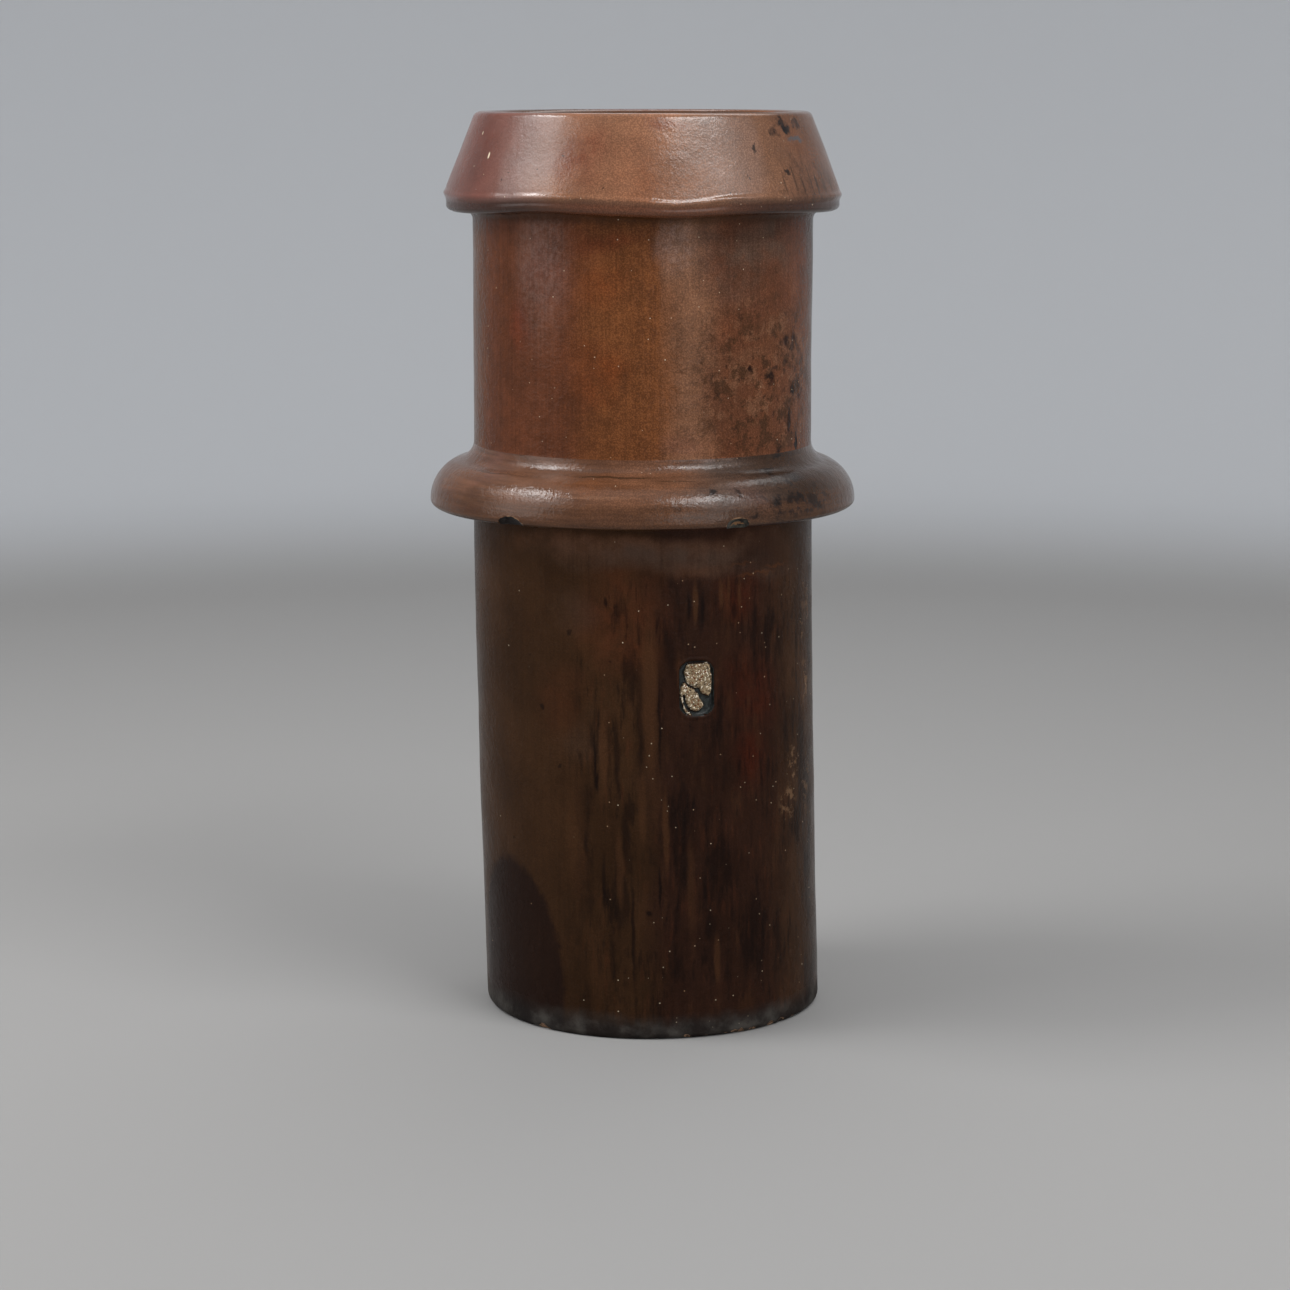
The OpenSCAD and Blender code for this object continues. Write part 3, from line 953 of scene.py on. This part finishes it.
def collar_glaze():
    g = Glaze("collar_glaze", COLLAR_COLOURS)
    g.swirls(26.0, 0.82, 1.14)
    g.clouds(COLLAR_CLOUDS)
    low_band = g.between(g.height, COLLAR_Z + 15, COLLAR_Z + 22, 0.6, 0.0)
    g.cover(OLIVE, low_band)
    rings = g.noise(420.0, 3.0, 0.6, (0.06, 0.06, 1.0))
    g.shade(rings, 0.3, 0.7, 1.14, 0.8)
    mottle = g.between(g.noise(120.0, 5.0, 0.65), 0.5, 0.6)
    g.cover(PITCH, g.marks(g.cloudy, COLLAR_MOTTLE, 0.7), mottle, 0.75)
    g.cover(UMBER, g.marks(g.straight, TOOL_LINES, 0.6))
    g.cover(FAWN, g.marks(g.straight, RIDGE_LINE, 0.6))
    g.grain(g.between(g.cloud_angle, -35.0, 5.0, 0.12, 0.35))
    g.blotches(COLLAR_BLOTCHES, 0.6)
    grit = g.grit(0.1, 0.5)
    for chip in COLLAR_CHIPS:
        g.cover(BUFF, chip_lip(g, chip), 0.6)
    return g.fire("collar", g.gloss(0.1, 0.24, scale=60.0, detail=4.0), grit)


def chip_lip(g, chip):
    """The pale broken edge of the glaze along the top of a chip in the collar."""
    middle, reach = chip_ball(COLLAR_R, COLLAR_Z, chip)
    middle = middle + np.array([BOW_TOP, 0.0, 0.0])
    away = g.vector("LENGTH", g.vector("SUBTRACT", g.point, tuple(middle * MM)))
    edge = g.between(g.math("SUBTRACT", away, reach * MM), 0.0, 0.0009, 1.0, 0.0)
    return g.times(edge, g.between(g.noise(260.0), 0.42, 0.55))


# Clouds and marks seen on the barrel below the middle collar
LOWER_CLOUDS = [
    # The hazel layer and the first two taupe marks are painted light: paler just under the collar, against
    # its shadow
    (HAZEL, [(4, 388, 70, 16, 1.0), (16, 372, 22, 14, 0.6)]),
    (RUST, [(-8, 333, 19, 60, 0.7), (-30, 270, 14, 40, 0.25), (160, 300, 24, 60, 0.4)]),
    (TAUPE, [
        (10, 383, 60, 20, 1.0), (38, 372, 30, 18, 0.7), (-22, 343, 12, 26, 0.3), (-20, 240, 10, 26, 0.25),
        (-140, 360, 40, 30, 0.5),
    ]),
    (GARNET, [
        (33, 346, 13, 30, 0.5), (37, 269, 17, 45, 0.65), (36, 222, 13, 26, 0.6), (120, 250, 24, 60, 0.6),
    ]),
]
OLIVE_STREAKS = [
    (1.4, 271, 3.6, 80, 0.55), (-14, 231, 2.2, 40, 0.5), (-9.4, 135, 1.8, 40, 0.4), (-1.7, 186, 2, 36, 0.4),
    (6, 166, 1.4, 44, 0.5), (22.5, 62, 1.7, 26, 0.45), (17, 345, 1.3, 22, 0.6), (26, 352, 1.2, 16, 0.4),
    (29, 356, 0.8, 16, 0.4), (33, 350, 1.0, 16, 0.4), (-24, 160, 5, 70, 0.25), (14, 120, 2.0, 50, 0.3),
]
PALE_SWEEPS = [(40, 364, 12, 2.0, 0.35), (50, 368, 9, 1.6, 0.4), (34, 372, 9, 1.4, 0.25)]
SCUFFS = [
    (66, 312, 4, 10, 0.9), (70, 270, 5, 34, 0.6), (58.6, 205, 5, 26, 0.9), (55, 178, 7, 20, 0.7),
    (72, 335, 7, 26, 0.5), (70, 190, 6, 40, 0.5), (100, 230, 8, 40, 0.5), (-132, 300, 9, 40, 0.5),
]
DARK_DRIPS = [
    (-17, 222, 0.6, 34, 0.7), (-9.6, 227, 1.6, 40, 0.6), (-14.9, 126, 0.9, 32, 0.6),
    (-7.2, 163, 1.9, 34, 0.6), (-5.6, 87, 0.9, 60, 0.7), (3.6, 122, 0.7, 24, 0.8),
    (-16.5, 205, 0.9, 12, 0.8), (-20.8, 156, 1.1, 14, 0.6), (-0.2, 102, 1.4, 3, 0.8),
    (14.7, 342, 1.1, 17, 0.7), (19.5, 338, 1.0, 17, 0.7), (31, 337, 1.5, 10, 0.6),
    (-12.4, 346, 1.0, 5, 0.7), (8.5, 309, 2.0, 24, 0.5), (4.6, 250, 0.6, 60, 0.6), (9, 165, 1.2, 50, 0.5),
]
LOWER_DOTS = [
    (-25, 322, 0.9, 3, 0.6), (-36, 262, 1.2, 2.4, 0.7), (-41, 300, 0.7, 2, 0.6), (-30, 215, 0.8, 2, 0.6),
    (-51, 150, 0.9, 2.6, 0.6), (-11, 300, 0.7, 2, 0.6),
]
PLUM_ARCH = [(-54, 35, 25, 104, 0.75)]


def lower_glaze():
    g = Glaze("lower_glaze", LOWER_COLOURS)
    g.swirls(16.0, 0.86, 1.28)
    g.clouds(LOWER_CLOUDS)
    g.shade(g.height, 60.0, 260.0, 0.86, 1.0)
    # Painted light: lighter just under the collar, against the collar's shadow
    g.shade(g.height, 330.0, 395.0, 1.0, 1.3)
    g.cover(PLUM, g.marks(g.ragged, PLUM_ARCH, 0.1))
    off_left = g.between(g.cloud_angle, -34.0, -14.0, 0.1, 1.0)
    off_collar = g.between(g.height, 395.0, 340.0, 0.1, 1.0)
    streaky = g.times(off_left, off_collar)
    wide = g.runs(60.0, 0.24, 6.0)
    thin = g.runs(300.0, 0.14, 5.0)
    patchy = g.between(g.noise(34.0, 4.0, 0.6), 0.4, 0.6)
    g.cover(PITCH, streaky, g.between(wide, 0.5, 0.62), 0.6)
    g.cover(OLIVE, streaky, g.between(wide, 0.46, 0.36), 0.2)
    g.cover(PITCH, streaky, patchy, g.between(thin, 0.5, 0.66), 0.6)
    g.cover(RUST, streaky, patchy, g.between(thin, 0.48, 0.32), 0.18)
    g.shade(g.runs(420.0, 0.03), 0.3, 0.7, 0.94, 1.06)
    g.cover(OLIVE, g.marks(g.straight, OLIVE_STREAKS, 0.6))
    g.cover(OCHRE, g.marks(g.ragged, PALE_SWEEPS, 0.8))
    scuffs = g.times(g.marks(g.ragged, SCUFFS, 0.9), g.between(g.noise(130.0, 6.0, 0.7), 0.5, 0.6))
    g.cover(BUFF, scuffs, 0.45)
    g.cover(PITCH, g.marks(g.straight, DARK_DRIPS, 0.7))
    g.cover(PITCH, g.marks(g.ragged, LOWER_DOTS, 0.5))
    g.grain(0.15)
    grit = g.grit(0.1, 0.95)

    # The dusty foot
    foot = g.between(g.math("MULTIPLY_ADD", g.noise(26.0, 3.0), 16.0, g.height), 16.0, 32.0, 1.0, 0.0)
    dusty = g.between(g.noise(34.0, 5.0, 0.6), 0.4, 0.66)
    g.cover(g.blend(dusty, CHARCOAL, DUST), foot, 0.85)
    roughness = g.math("MULTIPLY_ADD", foot, 0.35, g.gloss(0.2, 0.3))
    roughness = g.math("MULTIPLY_ADD", scuffs, 0.3, roughness)
    return g.fire("lower", roughness, grit)


def flue_glaze():
    """The inside, darker downwards in uneven runs."""
    g = Glaze("flue_glaze", [(-180, OLIVE), (-60, RUST), (60, OLIVE), (180, OLIVE)])
    g.swirls(20.0, 0.8, 1.15)
    streaked_height = g.math("MULTIPLY_ADD", g.runs(24.0, 0.25, 4.0), 160.0, g.height)
    g.cover(CHARCOAL, g.between(streaked_height, 480.0, 770.0, 0.95, 0.15))
    g.grain(0.25)
    grit = g.grit(0.2, 0.4)
    return g.fire("flue", g.gloss(0.4, 0.6), grit)


def sand_material():
    g = Graph("wad_sand")
    nearest, picks = g.cells(1000.0)
    colour = g.blend(picks[0], SAND_DARK, SAND_PALE)
    colour = g.blend(g.math("GREATER_THAN", picks[1], 0.88), colour, SAND_WHITE)
    colour = g.blend(g.math("GREATER_THAN", picks[2], 0.93), colour, SAND_RUST)
    pits = g.between(g.noise(330.0, 3.0, 0.6), 0.36, 0.28)
    colour = g.blend(pits, colour, SAND_PIT)
    return g.finish(colour, roughness=0.8, specular=0.3, height=nearest, distance=-0.0006)


def border_material():
    g = Graph("scar_border")
    tone = g.noise(380.0, 3.0)
    colour = g.blend(g.between(tone, 0.35, 0.7), BORDER_DARK, BORDER_PALE)
    return g.finish(colour, roughness=0.35, specular=0.3, height=tone, distance=0.0006)


# The orange streak in the shell-shaped chip
CHIP_STREAK = [(25.0, 408.6, 1.6, 1.0, 1.0), (26.6, 407.6, 1.3, 0.9, 1.0)]


def chip_material():
    # The hollow chip on the left is painted near black: painted shade inside its hollow
    g = Glaze("chip_fracture", [(-180, PITCH), (-10, PITCH), (10, CHARCOAL), (180, CHARCOAL)])
    tone = g.noise(210.0, 4.0, 0.6)
    right = g.math("GREATER_THAN", g.angle, 0.0)
    g.cover(CHIP_GREY, right, g.between(tone, 0.42, 0.68))
    g.cover(CHIP_ORANGE, g.marks(g.ragged, CHIP_STREAK, 0.6))
    return g.finish(g.colour, roughness=0.4, specular=0.2, height=tone, distance=0.0006)


def worn_material():
    g = Graph("foot_wear")
    tone = g.noise(220.0, 4.0, 0.65)
    colour = g.blend(g.between(tone, 0.42, 0.62), WORN_DARK, WORN_PALE)
    return g.finish(colour, roughness=0.75, specular=0.3, height=tone, distance=0.0008)


def make_pot():
    pot = bpy.data.objects.new("chimney_pot_glazed", pot_mesh())
    bpy.context.scene.collection.objects.link(pot)
    for make in (
        lower_glaze, collar_glaze, upper_glaze, rim_glaze, flue_glaze,
        sand_material, border_material, chip_material, worn_material,
    ):
        pot.data.materials.append(make())
    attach(pot, "root")
    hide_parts("chimney_pot")


# Studio: a pale round cove, in metres
COVE_FLAT_R = 3.0
COVE_BEND_R = 1.2
COVE_TOP = 3.4
COVE_BEND_STEPS = 12
COVE_COLUMNS = 96
PAPER_BLEND = (0.7 * COVE_FLAT_R, 1.1 * COVE_FLAT_R)
FLOOR_COLOUR = srgb(152, 151, 150)
WALL_COLOUR = srgb(208, 210, 213)
SKY_COLOUR = srgb(234, 235, 237)
SKY_STRENGTH = 0.42

# Lights round the pot: azimuth from the camera's side, elevation, distance, width, height and radiance
LIGHTS = {
    "panel_left": (-70, 22, 2.7, 1.7, 2.2, 1.8),
    "strip_left": (-82, 40, 2.7, 2.0, 0.5, 3.4),
    "panel_right": (50, 34, 2.7, 1.5, 1.3, 1.45),
    "strip_right": (52, 40, 2.7, 2.8, 0.5, 0.8),
    "card_right": (29, 7, 2.7, 1.6, 0.9, 1.8),
    "key_left": (-84, 50, 2.6, 0.9, 0.45, 18.0),
    "key_right": (42, 50, 2.6, 1.3, 0.45, 14.0),
    "fill_back": (165, 55, 2.8, 2.0, 1.0, 2.5),
    "roof": (0, 90, 2.9, 3.0, 3.0, 0.5),
}
LIT_POINT = Vector((0.0, 0.0, 0.45))


def make_cove():
    outline = [(0.0, 0.0), (COVE_FLAT_R, 0.0)]
    for step in range(1, COVE_BEND_STEPS + 1):
        turn = math.radians(90 * step / COVE_BEND_STEPS)
        outline.append((COVE_FLAT_R + COVE_BEND_R * math.sin(turn), COVE_BEND_R * (1 - math.cos(turn))))
    outline.append((COVE_FLAT_R + COVE_BEND_R, COVE_TOP))
    mesh = bmesh.new()
    line = [mesh.verts.new((r, 0.0, z)) for r, z in outline]
    edges = [mesh.edges.new(pair) for pair in zip(line, line[1:])]
    bmesh.ops.spin(
        mesh, geom=line + edges, cent=(0, 0, 0), axis=(0, 0, 1), angle=2 * math.pi, steps=COVE_COLUMNS,
    )
    bmesh.ops.remove_doubles(mesh, verts=mesh.verts, dist=1e-5)
    bmesh.ops.recalc_face_normals(mesh, faces=mesh.faces)
    for face in mesh.faces:
        face.smooth = True
    data = bpy.data.meshes.new("studio_cove")
    mesh.to_mesh(data)
    mesh.free()
    cove = bpy.data.objects.new("studio_cove", data)
    bpy.context.scene.collection.objects.link(cove)
    g = Graph("studio_paper")
    out = g.vector("LENGTH", g.vector("MULTIPLY", g.point, (1.0, 1.0, 0.0)))
    paper = g.blend(g.between(out, *PAPER_BLEND), FLOOR_COLOUR, WALL_COLOUR)
    data.materials.append(g.finish(paper, roughness=0.9, specular=0.1))


def soft_box(name, azimuth, elevation, distance, width, tall, radiance):
    """An area light that faces the pot."""
    lamp = bpy.data.lights.new(name, "AREA")
    lamp.shape = "RECTANGLE"
    lamp.size = width
    lamp.size_y = tall
    lamp.energy = radiance * math.pi * width * tall
    light = bpy.data.objects.new(name, lamp)
    swing = Matrix.Rotation(math.radians(azimuth), 4, "Z")
    tilt = Matrix.Rotation(math.radians(90 - elevation), 4, "X")
    turn = swing @ tilt
    light.matrix_world = Matrix.Translation(LIT_POINT) @ turn @ Matrix.Translation((0.0, 0.0, distance))
    light.visible_camera = False
    bpy.context.scene.collection.objects.link(light)


def make_lights():
    for name, numbers in LIGHTS.items():
        soft_box(name, *numbers)
    world = bpy.data.worlds.new("studio")
    world.use_nodes = True
    sky = world.node_tree.nodes["Background"].inputs
    sky["Color"].default_value = SKY_COLOUR
    sky["Strength"].default_value = SKY_STRENGTH
    bpy.context.scene.world = world


# Camera fitted to the photograph: its frame in pixels, its place in millimetres, degrees down
IMAGE_SIDE = 1290
SENSOR_W = 36.0
FOCAL_PIXELS = 3311.0
CAMERA_PLACE = (-2.0, -2631.0, 750.0)
CAMERA_PITCH = 9.924


def make_camera():
    lens = bpy.data.cameras.new("camera")
    lens.sensor_width = SENSOR_W
    lens.lens = FOCAL_PIXELS / IMAGE_SIDE * SENSOR_W
    camera = bpy.data.objects.new("camera", lens)
    camera.location = Vector(CAMERA_PLACE) * MM
    camera.rotation_euler = (math.radians(90 - CAMERA_PITCH), 0.0, 0.0)
    bpy.context.scene.collection.objects.link(camera)
    bpy.context.scene.camera = camera


make_camera()
make_pot()
make_cove()
make_lights()
bpy.context.scene.view_settings.view_transform = "Standard"
